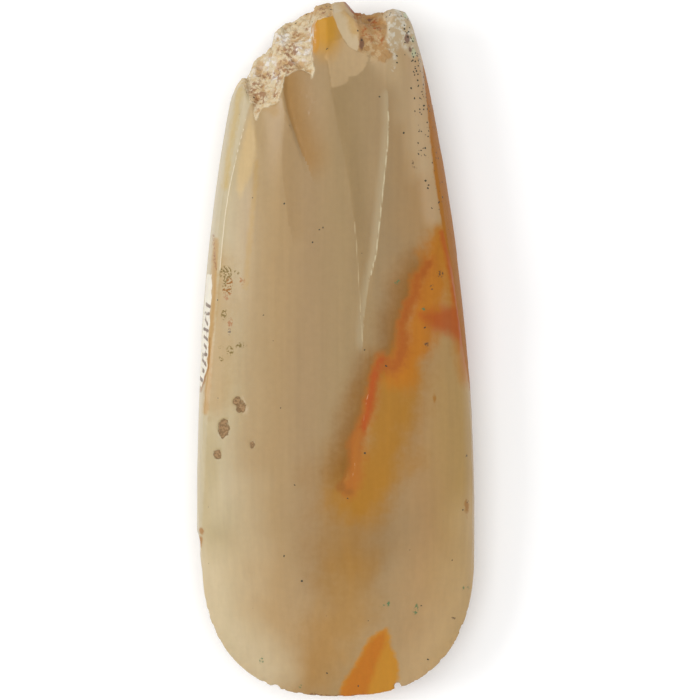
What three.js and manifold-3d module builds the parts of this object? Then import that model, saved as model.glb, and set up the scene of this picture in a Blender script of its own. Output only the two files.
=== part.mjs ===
// Jade axe head lying on its back: +Y runs to the broken butt, +Z out of the broad front face.
// One solid: a ground lens-shaped body with flat narrow sides, a curved cutting edge, flake scars
// running down from the butt, a rough break across the butt and a small flat worn on the back.

import * as THREE from 'three';
import Module from 'manifold-3d';
import { ImprovedNoise } from 'three/addons/math/ImprovedNoise.js';
import { mergeVertices } from 'three/addons/utils/BufferGeometryUtils.js';

const { lerp, smoothstep, clamp } = THREE.MathUtils;

// driving dimensions, millimetres
const halfLength = 90;
const halfWide = 35.9; // at the widest, just above the cutting edge
const halfThick = 13.6; // centre line to crown at the thickest station
const backWear = 0.8; // how much the flat on the back takes off the crown
const rimHalf = 0.3; // half the thickness left along the cutting edge
const mid = halfThick - backWear; // height of the middle plane above the rest face

// plan: each half of the blade is a quarter superellipse, the sides taper from it to the butt
const bladeCentre = -50;
const leftBlade = { wide: 34.6, centre: -54, power: 2.4 };
const rightBlade = { wide: halfWide, centre: bladeCentre, power: 2.6 };
const leftStep = [-53, -48]; // the left side steps in between these stations, at an old bruise
const taperStart = -45;
const taperRun = 109.6;
const leftTaper = { loss: 8.8, power: 2.41 };
const rightTaper = { loss: 11.1, power: 1.95 };

// thickness along the length
const thickStation = -6; // station where the body is thickest
const bladeFall = 2.4; // power of the fall to the cutting edge
const buttHalfThick = 11; // half thickness at the butt
const bodyTop = 94; // the body runs past the break, which then cuts it

// arrises between the broad faces and the narrow sides, as [y, inset from the outline]
const leftInset = [[-50, 4], [-35, 2], [-21, 1.5], [-13, 2], [-5, 2.3], [2.5, 2.8], [13, 4],
  [26, 3.6], [40, 3.3], [51, 4.4], [60, 5.1], [94, 6]];
const rightInset = [[-50, 4], [-20, 2.5], [0, 1.9], [10, 1.8], [18, 2.6], [28, 3.3], [35, 3.2],
  [43, 3], [54, 2.6], [63, 1.9], [74, 1.6], [94, 1.5]];
const leftCrisp = [-34, -8]; // the arris grows from nothing to full between these stations
const rightCrisp = [-6, 16];
const arrisShare = 0.56; // height of the arris as a share of the half thickness
const crownPower = 2.7; // flatness of the broad faces between the arrises
const roundPower = 2.4; // flatness of the broad faces where the sides are round

// line of the broken crest seen from the front, [x, y], and where the break meets the front face
const crest = [[-30, 58], [-26.4, 66.9], [-24.6, 70.5], [-22.9, 70.8], [-22.2, 72.4], [-21.5, 74.2],
  [-20.4, 75.9], [-19, 76.1], [-17.4, 77.8], [-16.5, 78.4], [-16.3, 82], [-14.8, 83.7], [-12.8, 85],
  [-9.9, 85.9], [-8.1, 87.2], [-6.2, 87.4], [-5.3, 88.6], [-3.2, 89.7], [2.4, 90], [3.6, 88.6],
  [4.6, 87.5], [8.6, 86.9], [10, 87.4], [14.9, 88], [17.8, 87.4], [19.6, 84.5], [21.4, 78],
  [26, 62]];
const breakFoot = [[-30, 57], [-26, 65.5], [-24, 69], [-22.2, 64.5], [-20, 61.5], [-18, 62.3],
  [-14.6, 64], [-13.8, 69], [-12.5, 70.8], [-8, 71.5], [-6.1, 69.6], [-5.4, 84.6], [-0.8, 86],
  [2.6, 87], [4.6, 84.6], [6.6, 83.2], [9.5, 82.6], [13.2, 82.6], [14.2, 84.4], [15, 86], [19.4, 83.4],
  [21.2, 77], [26, 61]];
// height of that crest above the middle plane, and the roughness of the break across it
const crestHeight = [[-27, 0], [-20, -2], [-14.4, -1], [-13.6, -5], [-7, -4], [-5.4, 1], [2, 3],
  [6, 2.6], [8, 2.2], [12, 2.2], [14.4, 3.2], [20, 4]];
const roughness = [[-25, 0.3], [-22, 1], [-7, 1], [-5, 0.25], [6, 0.3], [7.5, 1], [13, 0.9],
  [15, 0.15], [22, 0.15]];
const breakGrain = { coarse: 0.23, fine: 0.62, lift: 1.5, ripple: 0.8 };
const grainRise = 0.6; // the grain stands up to this much above the slope
const frontSlope = 1.25; // power of the fall from the crest to the front face
const backFall = 5; // how far the break falls away behind the crest
const backSlope = 1.6;

// flake scars struck from the butt: edges as [y, x] from the tip up, valley as a share across,
// growth as the power by which a scar deepens from its tip (low = blunt tip, high = fading tip)
const frontScars = [
  { // cheek along the left arris
    left: [[4, -26.6], [12, -27.6], [20, -28.4], [28, -28.2], [41.6, -26], [51, -23.9], [60, -22.4],
      [94, -21]],
    right: [[4, -24.6], [26, -21.6], [46, -21.3], [50.4, -20.2], [60, -21.6], [94, -22]],
    depth: 0.5, valley: 0.5, growth: 1.4,
  },
  { // left flute
    left: [[30, -18.4], [40, -20.6], [46, -21.6], [50.4, -20.4], [58, -21], [94, -22]],
    right: [[30, -13.4], [38.7, -12.9], [46.5, -13.5], [56.9, -13.3], [64.6, -13.5], [94, -14]],
    depth: 1.9, valley: 0.3, growth: 1.3,
  },
  { // steep flute with the notched tip
    left: [[43.6, -7.1], [51.7, -9.9], [56.9, -11.7], [64.6, -13.6], [70, -14.2], [94, -15]],
    right: [[43.6, -6.3], [52, -3.6], [66, -1.6], [76, 0.4], [94, 2]],
    depth: 2.8, valley: 0.2, growth: 0.8,
  },
  { // long flute down to the middle of the face
    left: [[2.5, 7], [15.4, 6.4], [32.2, 5.1], [49, 2.5], [60.7, -0.5], [94, -4.5]],
    right: [[2.5, 7.4], [16.7, 9.2], [29.7, 11.1], [43.9, 12.5], [59.4, 13.4], [66, 13.1], [94, 12]],
    depth: 2.1, valley: 0.55, growth: 0.9,
  },
  { // short scar under the crest
    left: [[66.8, 0.8], [69, -1.4], [74.5, -3.2], [94, -6]],
    right: [[66.8, 1.8], [68.6, 4.6], [71.4, 7], [75, 9.8], [94, 15]],
    depth: 3, valley: 0.5, growth: 0.6,
  },
  { // slab beside the crest
    left: [[75.6, 4.6], [77.4, 3], [82, 1.2], [87, -0.9], [94, -4]],
    right: [[75.6, 6], [77.4, 6.6], [82, 5.4], [87, 3.6], [94, 1]],
    depth: 3.2, valley: 0.62, growth: 0.4,
  },
  { // rough hollow between the slab and the corner
    left: [[72.4, 9], [75.6, 6.8], [80, 5.8], [87, 4.4], [94, 3]],
    right: [[72.4, 10.4], [76, 13.3], [82, 13.8], [94, 14.4]],
    depth: 2.6, valley: 0.4, growth: 0.6,
  },
];
const backScars = [
  {
    left: [[48, -15], [60, -20.5], [94, -23]],
    right: [[48, -14], [60, -8], [94, -4]],
    depth: 1.8, valley: 0.4, growth: 0.8,
  },
  {
    left: [[58, 3.4], [70, -3], [94, -6]],
    right: [[58, 4.4], [70, 10.5], [94, 15]],
    depth: 1.6, valley: 0.6, growth: 0.8,
  },
];
const scarMargin = 0.12; // the scoop runs this share past its edges, clear of the face
const tipLift = 0.15; // the scoop leaves the face this high beyond its tip

// nicks in the cutting edge and the left side: centre, radii
const nicks = [
  { at: [16, -87.2], size: [0.9, 1, 2] },
  { at: [6.2, -90.4], size: [1.9, 0.9, 2] },
  { at: [-15.6, -87.9], size: [1.2, 1.1, 2] },
  { at: [-6.3, -90.6], size: [1.2, 0.9, 2] },
  { at: [-36.8, -50.6], size: [2, 3.6, 5] },
  { at: [-36.6, -58], size: [1.1, 2.4, 4] },
];

// grid of the loft
const faceSteps = 16; // across each broad face, arris to arris
const sideShares = [1, 0.66, 0.36, 0.14, 0]; // down each half side, arris to middle plane
const bladeSteps = 15;
const bladeEnd = THREE.MathUtils.degToRad(88.6);
const bodySteps = 40;

const wasm = await Module();
wasm.setup();
const noise = new ImprovedNoise();

// value at a station on a line of [station, value] pairs, held past both ends
function along(points, at) {
  const next = points.findIndex(([station]) => station > at);
  if (next === 0) return points[0][1];
  if (next < 0) return points[points.length - 1][1];
  const [s0, v0] = points[next - 1];
  const [s1, v1] = points[next];
  return THREE.MathUtils.mapLinear(at, s0, s1, v0, v1);
}

// the same line with its corners rounded by averaging over a short span
function eased(points, at, span = 7) {
  let sum = 0;
  for (let k = -3; k <= 3; k++) sum += along(points, at + (k * span) / 6);
  return sum / 7;
}

function bladeHalfWidth({ wide, centre, power }, y) {
  const reach = clamp((centre - y) / (centre + halfLength), 0, 1);
  return wide * Math.pow(1 - Math.pow(reach, power), 1 / power);
}

function halfWidth(side, y) {
  if (side > 0 && y < bladeCentre) return bladeHalfWidth(rightBlade, y);
  const { loss, power } = side < 0 ? leftTaper : rightTaper;
  const wide = halfWide - loss * Math.pow(Math.max(y - taperStart, 0) / taperRun, power);
  if (side > 0) return wide;
  return lerp(bladeHalfWidth(leftBlade, y), wide, smoothstep(y, ...leftStep));
}

// half thickness on the centre line
function crown(y) {
  if (y > thickStation) {
    const rise = (y - thickStation) / (halfLength - thickStation);
    return halfThick - (halfThick - buttHalfThick) * Math.pow(rise, 2);
  }
  const fall = (thickStation - y) / (thickStation + halfLength);
  return rimHalf + (halfThick - rimHalf) * (1 - Math.pow(Math.min(fall, 1), bladeFall));
}

function arrisInset(side, y) {
  const inset = eased(side < 0 ? leftInset : rightInset, y);
  return y < bladeCentre ? (inset * halfWidth(side, y)) / halfWide : inset;
}

// height of the ground surface above the middle plane, before any flake is struck
function faceHeight(x, y) {
  const side = Math.sign(x) || 1;
  const wide = halfWidth(side, y);
  const out = Math.min(Math.abs(x) / wide, 1);
  const high = crown(y) - rimHalf;
  const keen = lerp(1, 2, smoothstep(y, -78, -36)); // 1 = bevelled to an edge, 2 = rounded
  const round = high * Math.pow(1 - Math.pow(out, roundPower), 1 / keen);
  const inset = arrisInset(side, y);
  const arrisAt = wide - inset;
  const arris = high * arrisShare;
  const share = clamp((wide - Math.abs(x)) / inset, 0, 1);
  const flat = Math.abs(x) < arrisAt
    ? arris + (high - arris) * (1 - Math.pow(Math.abs(x) / arrisAt, crownPower))
    : arris * Math.pow(1 - Math.pow(1 - share, 1.5), 1 / 1.5);
  const crisp = smoothstep(y, ...(side < 0 ? leftCrisp : rightCrisp));
  return rimHalf + lerp(round, flat, crisp);
}

// across a scar from edge (0) to valley (1) to edge, running on straight past both edges
function scoop(across, valley) {
  const reach = across < valley ? across / valley : (1 - across) / (1 - valley);
  return reach > 0 ? Math.sin((reach * Math.PI) / 2) : (reach * Math.PI) / 2;
}

function scarGrowth(scar, y) {
  const [tip] = scar.left[0];
  return Math.pow(Math.max(y - tip, 0) / (halfLength - tip), scar.growth);
}

// how far the scars of the front face have cut below it
function frontDepth(x, y) {
  const cuts = frontScars.map((scar) => {
    const from = along(scar.left, y);
    const across = (x - from) / (along(scar.right, y) - from);
    return scar.depth * scarGrowth(scar, y) * scoop(across, scar.valley);
  });
  return Math.max(0, ...cuts);
}

// closed solid between two grids of points with the same layout
function gridSolid(columns, rows, near, far) {
  const positions = [];
  const index = [];
  const sheet = (columns + 1) * (rows + 1);
  for (const grid of [near, far]) {
    for (let j = 0; j <= rows; j++) {
      for (let i = 0; i <= columns; i++) positions.push(...grid(i, j));
    }
  }
  const at = (i, j, layer) => layer * sheet + j * (columns + 1) + i;
  const quad = (a, b, c, d) => index.push(a, b, c, a, c, d);
  for (let j = 0; j < rows; j++) {
    for (let i = 0; i < columns; i++) {
      quad(at(i, j, 0), at(i, j + 1, 0), at(i + 1, j + 1, 0), at(i + 1, j, 0));
      quad(at(i, j, 1), at(i + 1, j, 1), at(i + 1, j + 1, 1), at(i, j + 1, 1));
    }
  }
  for (let i = 0; i < columns; i++) {
    quad(at(i, 0, 0), at(i + 1, 0, 0), at(i + 1, 0, 1), at(i, 0, 1));
    quad(at(i, rows, 0), at(i, rows, 1), at(i + 1, rows, 1), at(i + 1, rows, 0));
  }
  for (let j = 0; j < rows; j++) {
    quad(at(0, j, 0), at(0, j, 1), at(0, j + 1, 1), at(0, j + 1, 0));
    quad(at(columns, j, 0), at(columns, j + 1, 0), at(columns, j + 1, 1), at(columns, j, 1));
  }
  const geometry = new THREE.BufferGeometry();
  geometry.setAttribute('position', new THREE.Float32BufferAttribute(positions, 3));
  geometry.setIndex(index);
  return geometry;
}

function toSolid(geometry) {
  geometry.deleteAttribute('normal');
  geometry.deleteAttribute('uv');
  const merged = mergeVertices(geometry, 1e-4);
  return new wasm.Manifold(new wasm.Mesh({
    numProp: 3,
    vertProperties: new Float32Array(merged.attributes.position.array),
    triVerts: new Uint32Array(merged.index.array),
  }));
}

function toGeometry(solid) {
  const mesh = solid.getMesh();
  const geometry = new THREE.BufferGeometry();
  geometry.setAttribute('position', new THREE.BufferAttribute(mesh.vertProperties, 3));
  geometry.setIndex(new THREE.BufferAttribute(mesh.triVerts, 1));
  return geometry;
}

// stations of the loft from the cutting edge to past the butt, close together round the blade
function stations() {
  const list = [];
  for (let k = 0; k < bladeSteps; k++) {
    const angle = bladeEnd * (1 - k / bladeSteps);
    const reach = Math.pow(Math.sin(angle), 2 / rightBlade.power);
    list.push(lerp(bladeCentre, -halfLength, reach));
  }
  for (let k = 0; k <= bodySteps; k++) list.push(lerp(bladeCentre, bodyTop, k / bodySteps));
  return list;
}

// x of each point across the front of a station, left rim to right rim
function acrossStation(y) {
  const leftRim = -halfWidth(-1, y);
  const rightRim = halfWidth(1, y);
  const leftArris = leftRim + arrisInset(-1, y);
  const rightArris = rightRim - arrisInset(1, y);
  const down = sideShares.slice(1);
  const xs = down.toReversed().map((share) => lerp(leftRim, leftArris, share));
  for (let k = 0; k <= faceSteps; k++) xs.push(lerp(leftArris, rightArris, k / faceSteps));
  return xs.concat(down.map((share) => lerp(rightRim, rightArris, share)));
}

function groundBody() {
  const levels = stations();
  const grids = levels.map(acrossStation);
  const face = (side) => (i, j) => {
    const x = grids[j][i];
    return [x, levels[j], mid + side * faceHeight(x, levels[j])];
  };
  return toSolid(gridSolid(grids[0].length - 1, levels.length - 1, face(-1), face(1)));
}

function flakeScar(scar, side) {
  const columns = 10;
  const rows = 12;
  const [tip] = scar.left[0];
  const point = (i, j) => {
    const y = lerp(tip, bodyTop + 2, Math.pow(j / rows, 1.3));
    const across = lerp(-scarMargin, 1 + scarMargin, i / columns);
    const x = lerp(along(scar.left, y), along(scar.right, y), across);
    const cut = scar.depth * scarGrowth(scar, y) * scoop(across, scar.valley);
    return [x, y, faceHeight(x, y) - cut + (j === 0 ? tipLift : 0)];
  };
  const floor = (i, j) => {
    const [x, y, z] = point(i, j);
    return [x, y, mid + side * z];
  };
  const lid = (i, j) => {
    const [x, y] = point(i, j);
    return [x, y, mid + side * 2 * halfThick];
  };
  const cutter = side > 0 ? gridSolid(columns, rows, floor, lid) : gridSolid(columns, rows, lid, floor);
  return toSolid(cutter);
}

// all that the break took away: everything above a rough slope from the crest to the front face
function buttBreak() {
  const columns = 62;
  const rows = 12;
  const xAt = (i) => lerp(-29, 25, i / columns);
  const zAt = (j) => lerp(-2, 2 * halfThick + 2, j / rows);
  const slope = (i, j) => {
    const x = xAt(i);
    const z = zAt(j);
    const top = along(crest, x);
    const foot = along(breakFoot, x);
    const topZ = mid + along(crestHeight, x);
    const footZ = mid + faceHeight(x, foot) - frontDepth(x, foot);
    // 0 on the crest, 1 where it meets the front face
    const down = Math.min((z - topZ) / Math.max(footZ - topZ, 4), 1.5);
    const grain = breakGrain.lift * noise.noise(x * breakGrain.coarse, z * breakGrain.coarse, 0.4)
      + breakGrain.ripple * noise.noise(x * breakGrain.fine, z * breakGrain.fine, 7.4);
    const rough = along(roughness, x) * grain * clamp(Math.abs(down) * 1.4, 0, 1);
    const y = down > 0
      ? lerp(top, foot, Math.pow(down, frontSlope))
      : top - backFall * Math.pow(-down, backSlope);
    return [x, y - Math.max(rough, -grainRise), z];
  };
  const beyond = (i, j) => [xAt(i), bodyTop + 10, zAt(j)];
  return toSolid(gridSolid(columns, rows, beyond, slope));
}

// the flat worn on the back, as everything below it
function belowRest() {
  const geometry = new THREE.BoxGeometry(4 * halfWide, 3 * halfLength, 20);
  geometry.translate(0, 0, -10);
  return toSolid(geometry);
}

function nick({ at: [x, y], size }) {
  const geometry = new THREE.SphereGeometry(1, 10, 8);
  geometry.scale(...size);
  geometry.translate(x, y, mid);
  return toSolid(geometry);
}

function axeHead() {
  let solid = groundBody();
  for (const scar of frontScars) solid = solid.subtract(flakeScar(scar, 1));
  for (const scar of backScars) solid = solid.subtract(flakeScar(scar, -1));
  solid = solid.subtract(buttBreak());
  for (const chip of nicks) solid = solid.subtract(nick(chip));
  solid = solid.subtract(belowRest());
  const geometry = toGeometry(solid);
  geometry.computeBoundingBox();
  const centre = geometry.boundingBox.getCenter(new THREE.Vector3());
  geometry.translate(-centre.x, -centre.y, -geometry.boundingBox.min.z); // onto the origin
  return geometry;
}

const jade = new THREE.MeshStandardMaterial({ color: 0xb69a70, roughness: 0.3, metalness: 0 });
const head = new THREE.Mesh(axeHead(), jade);
head.name = 'axe_head';

const part = new THREE.Group();
part.add(head);

export default part;
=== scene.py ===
# A jade axe head with a broken butt, lying on its back on a white table and seen from straight above.
import math

import bmesh
import bpy
import numpy as np
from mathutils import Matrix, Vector, noise


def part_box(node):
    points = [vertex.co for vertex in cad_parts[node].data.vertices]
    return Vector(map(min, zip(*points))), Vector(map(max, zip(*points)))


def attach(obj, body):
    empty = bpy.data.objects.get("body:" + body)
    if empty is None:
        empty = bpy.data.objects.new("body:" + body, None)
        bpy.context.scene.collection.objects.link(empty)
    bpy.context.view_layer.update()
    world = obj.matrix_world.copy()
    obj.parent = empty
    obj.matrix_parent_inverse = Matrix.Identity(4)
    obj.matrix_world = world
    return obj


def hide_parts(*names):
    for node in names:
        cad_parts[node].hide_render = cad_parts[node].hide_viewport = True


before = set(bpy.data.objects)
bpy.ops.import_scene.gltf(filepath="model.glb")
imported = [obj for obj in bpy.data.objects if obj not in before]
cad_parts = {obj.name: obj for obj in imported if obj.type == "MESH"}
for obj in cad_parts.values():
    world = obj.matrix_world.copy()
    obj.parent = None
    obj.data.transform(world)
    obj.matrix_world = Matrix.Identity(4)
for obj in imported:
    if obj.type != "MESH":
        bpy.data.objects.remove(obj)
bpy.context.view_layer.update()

# The frame gives the size of everything: the axe head is 179.8 of these millimetres long
low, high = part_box("axe_head")
mm = (high.y - low.y) / 179.8
middle = 12.8  # height of the middle plane, halfway between the two broad faces
far = 9.0  # a distance, in mm, at which no stain or mark shows
print("frame", [round((high[k] - low[k]) / mm, 1) for k in range(3)])


def ease(value, start, end):  # 0 before start, 1 past end, smooth between
    t = np.clip((value - start) / (end - start), 0, 1)
    return t * t * (3 - 2 * t)


def cloud(points, size, octaves=2, shift=0.0):  # soft noise around 0, with lumps about size mm across
    offset = Vector((shift, shift * 1.7, shift * 0.6))
    values = [noise.fractal(Vector(p) / size + offset, 1.0, 2.1, octaves) for p in points]
    return np.array(values)


def besideRoute(route, x, y):  # distance to a line of points, negative on its left going down
    nearest = np.full(x.shape, 1e9)
    signed = np.zeros(x.shape)
    for (x0, y0), (x1, y1) in zip(route, route[1:]):
        dx, dy = x1 - x0, y1 - y0
        along = np.clip(((x - x0) * dx + (y - y0) * dy) / (dx * dx + dy * dy), 0, 1)
        away = np.hypot(x - x0 - along * dx, y - y0 - along * dy)
        side = np.sign((y - y0) * dx - (x - x0) * dy)
        closer = away < nearest
        nearest = np.where(closer, away, nearest)
        signed = np.where(closer, side * away, signed)
    return signed


def insideOutline(outline, x, y):  # distance to a closed outline, positive inside it
    closed = outline + outline[:1]
    inside = np.zeros(x.shape, bool)
    for (x0, y0), (x1, y1) in zip(closed, closed[1:]):
        crosses = (y0 > y) != (y1 > y)
        inside ^= crosses & (x < (x1 - x0) * (y - y0) / (y1 - y0 + 1e-12) + x0)
    away = np.abs(besideRoute(closed, x, y))
    return np.where(inside, away, -away)


def inSpots(spots, x, y):  # distance to the edge of the nearest oval spot, positive inside it
    deep = np.full(x.shape, -far)
    for sx, sy, wide, tall in spots:
        away = np.hypot((x - sx) / (wide / 2), (y - sy) / (tall / 2))
        deep = np.maximum(deep, (1 - away) * min(wide, tall) / 2)
    return deep


# Camera: straight above, with a long lens, so the axe head stands upright in the picture
view = {"lens": 200, "frameWide": 181.3, "shiftRight": 3.7, "shiftDown": 0.15, "clipEnd": 20}


def addCamera():
    camera = bpy.data.cameras.new("overhead")
    camera.lens = view["lens"]
    camera.clip_end = view["clipEnd"]
    eye = bpy.data.objects.new("overhead", camera)
    rise = view["frameWide"] * view["lens"] / camera.sensor_width
    eye.location = (view["shiftRight"] * mm, -view["shiftDown"] * mm, (middle + rise) * mm)
    bpy.context.scene.collection.objects.link(eye)
    bpy.context.scene.camera = eye


# Studio: one soft key from the left, a broad soft light overhead and a white table
studio = {
    "table": "ffffff",
    "tableHalf": 3000,
    "tableBelow": 0.05,  # a hair under the axe head, so the two never flicker
    "key": {"at": (-1200, 80, 900), "wide": 700, "watts": 8.5},
    "overhead": {"at": (0, 0, 2000), "wide": 2000, "watts": 25},
    "sky": 0.5,
}


def linear(code):  # an sRGB hex colour as linear red, green, blue, alpha
    parts = [int(code[k:k + 2], 16) / 255 for k in (0, 2, 4)]
    return tuple(c / 12.92 if c <= 0.04045 else ((c + 0.055) / 1.055) ** 2.4 for c in parts) + (1,)


def add(tree, kind, links=(), **settings):  # one node with its settings and what goes into it
    made = tree.nodes.new(kind)
    for name, value in settings.items():
        setattr(made, name, value)
    for socket, value in dict(links).items():
        if isinstance(value, bpy.types.NodeSocket):
            tree.links.new(value, made.inputs[socket])
        else:
            made.inputs[socket].default_value = value
    return made


def addLights():
    for name in ("key", "overhead"):
        facts = studio[name]
        lamp = bpy.data.lights.new(name, "AREA")
        lamp.size = facts["wide"] * mm
        lamp.energy = facts["watts"]
        holder = bpy.data.objects.new(name, lamp)
        holder.location = Vector(facts["at"]) * mm
        holder.rotation_euler = (-holder.location).to_track_quat("-Z", "Y").to_euler()
        holder.visible_glossy = name == "key"  # only the key leaves a gleam on the polish
        bpy.context.scene.collection.objects.link(holder)
    world = bpy.data.worlds.new("white room")
    world.use_nodes = True
    background = world.node_tree.nodes["Background"]
    background.inputs["Color"].default_value = (1, 1, 1, 1)
    background.inputs["Strength"].default_value = studio["sky"]
    bpy.context.scene.world = world
    bpy.context.scene.view_settings.view_transform = "Standard"


def addTable():
    shape = bmesh.new()
    bmesh.ops.create_grid(shape, x_segments=1, y_segments=1, size=studio["tableHalf"] * mm)
    bmesh.ops.translate(shape, verts=shape.verts, vec=(0, 0, -studio["tableBelow"] * mm))
    mesh = bpy.data.meshes.new("table")
    shape.to_mesh(mesh)
    shape.free()
    table = bpy.data.objects.new("table", mesh)
    bpy.context.scene.collection.objects.link(table)
    # Matt white card: pale and even, with no gleam
    card = bpy.data.materials.new("matt white card")
    card.use_nodes = True
    shader = card.node_tree.nodes["Principled BSDF"]
    shader.inputs["Base Color"].default_value = linear(studio["table"])
    shader.inputs["Roughness"].default_value = 0.9
    mesh.materials.append(card)


addCamera()
addLights()
addTable()
print("camera, lights and table")

# Places on the axe head in millimetres from its middle, seen from above: x, y along a line or round an
# outline, or x, y, width, height of a spot
places = {
    "leftArris": [(-20.5, 67), (-23, 59.5), (-25.2, 51), (-27.3, 41.6), (-28.4, 34.7), (-29.3, 26),
                  (-29.9, 19), (-30.6, 10), (-31.4, 0), (-32.2, -10), (-33, -20), (-33.8, -35),
                  (-34.6, -48), (-37, -54)],
    "rightArris": [(19.9, 90), (20.6, 80.6), (22.2, 75), (23.4, 63), (24.2, 54), (25.5, 43.3), (26.8, 34.7),
                   (28.6, 26), (30, 20), (31.3, 10), (32.8, 0), (34.6, -10), (37, -20)],
    "cortex": [(-24.4, 69.6), (-23.6, 72), (-21.8, 76.6), (-19, 77.4), (-17.6, 79), (-17.4, 83),
               (-13.8, 86), (-8.4, 88), (-6.4, 89), (-4, 91), (-0.9, 91), (-0.6, 85.7), (-4, 85.4),
               (-6.2, 83.6), (-6.05, 76.5), (-5.5, 72.2), (-5.9, 69.4), (-7.4, 72.4), (-10, 71.6),
               (-12.9, 70.2), (-13.7, 66.4), (-14.5, 63.8), (-16.2, 62.5), (-18.7, 62), (-20, 58.6),
               (-21.7, 65.2), (-23.4, 68.9)],
    "crestLump": [(-6.6, 88), (-5.6, 86), (-3.6, 85.4), (-0.7, 85.6), (-0.6, 91), (-6, 91)],
    "slab": [(-0.8, 86.2), (-0.4, 91), (2.8, 91), (4, 87.7), (4.8, 86.1), (5.95, 82.6), (6.2, 77.8),
             (5.5, 76.5), (3.4, 77.7), (1.8, 80), (0.6, 82.6)],
    "hollow": [(3.4, 91), (8.7, 91), (12, 91), (12.6, 84.6), (13.3, 82.6), (12.5, 80.2), (13.4, 77.8),
               (14.4, 75), (12.9, 73.4), (11.1, 74), (7.9, 75.6), (5.9, 76.6), (6.2, 80.6), (5.4, 84.6)],
    "corner": [(12.2, 89), (16, 90), (21, 88), (22.5, 80), (21.9, 76), (19.8, 74.4), (17.8, 76.4),
               (17.2, 78.6), (15.4, 77.4), (15.9, 74.6), (15.1, 71.4), (14.4, 74.8), (13.7, 77.6),
               (12.8, 80), (13.4, 82.6), (12.8, 84.8)],
    "vein": [(23.4, 22.4), (20.6, 18.5), (20, 13.9), (17.6, 11.4), (16.6, 6.3), (16.8, 1.8), (16.2, -2),
             (14.8, -4.1), (11.5, -1.8), (10, -4.3), (9.2, -8.1), (8.1, -12.7), (7.3, -17.2), (5.4, -21),
             (4.7, -24.8), (5, -28.6), (4.2, -32.4), (2.6, -35.4)],
    "redPatch": [(21.6, 8.4), (26.8, 10.6), (34.5, 11.6), (35.6, -7), (33.6, -3), (31.6, 1.8), (29, 4),
                 (25.4, 5.4)],
    "wedge": [(13.6, -71.8), (14.2, -76.6), (15.9, -81), (16, -85), (15.3, -93), (0, -93), (0.9, -89),
              (2.4, -85.4), (5, -81.4), (7.2, -77.4), (9.4, -74.2)],
    "wedgeFold": [(13.3, -72), (13, -76.2), (11.2, -80.4), (9.4, -86), (8, -91)],
    "cheek": [(-22, 64.6), (-20.8, 60), (-20.2, 56.1), (-19.7, 51.9), (-19.9, 49.4), (-20.7, 46),
              (-22.2, 42), (-24.6, 37.6), (-26, 41), (-26, 47), (-25.2, 51), (-23, 59.5)],
    "leftFlute": [(-13.2, 66), (-13, 57), (-13.5, 51.9), (-13.6, 46.9), (-13.2, 42.6), (-12.6, 38),
                  (-11.8, 31)],
    "steepEdge": [(-13.7, 69.6), (-13, 65), (-12.1, 60.8), (-10.7, 56.5), (-9.3, 52.5), (-8, 48.9),
                  (-7, 45.8)],
    "longEdge": [(-2.2, 73.4), (-1, 66.4), (0.3, 58.9), (1.7, 52.5), (2.9, 45.9), (4.1, 39.3), (4.8, 32.7),
                 (5.3, 27.4), (5.9, 18), (6.5, 8), (7, 1)],
    "ridge": [(7, 1), (7, 4), (7.9, 13.2), (8.8, 18.5), (10.4, 24.4), (11.2, 32), (12, 39.3), (12.7, 45.9),
              (13.3, 51.9), (13.7, 57.8), (13.5, 65)],
    "shell": [(-2.1, 73.5), (-1, 66.9), (1.5, 67.5), (3.1, 68.4), (3.5, 70), (5.8, 70.2), (7.4, 71.9),
              (8.6, 74.6), (8, 76), (5.5, 76.5), (3.4, 77.7), (1.8, 80), (-1, 79), (-3, 75)],
    "pits": [(-24.9, -13.3, 2.9, 2.6), (-23.8, -15.2, 2, 2.4), (-25.8, -13.4, 1.2, 1), (-29, -20.3, 3, 4.4),
             (-28.6, -18.6, 2.2, 1.8), (-30.2, -26.8, 2, 2.6), (-21.6, -24.1, 1.4, 2)],
}

# The axe head's surface, in millimetres
surface = {
    "grain": 0.47,  # size of the fine mesh's faces
    "backFrom": 3,  # the plainer back starts this far below the middle
    "backThin": 0.19,  # share of its faces that the plainer back keeps
    "facetAngle": 4.5,  # bends up to about this many degrees are polished away, ridges stay
    "polishRounds": 70,
    "settleRounds": 25,
    "wave": 0.06,  # slow unevenness of the hand-ground faces
    "waveSize": 17,
    "breakDepth": 0.75,  # lumps and grain of the broken butt
    "lumpSize": 3.6,
    "grainSize": 1.5,
    "breakFray": 0.7,  # how far the edge of the break wanders
    "breakFrom": 57,  # behind the front face it starts here along the stone
    "breakFacing": 0.42,  # and where the surface turns this much to the butt
    "hollowDepth": 0.5,
    "hollowLumps": 2.2,
    "footRounds": 50,  # smoothing at the foot of the steep flute
    "pitDepth": 0.25,
    "notchDepth": 0.25,  # tiny chips along the cutting edge
    "notchSize": 2.6,
}


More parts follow.
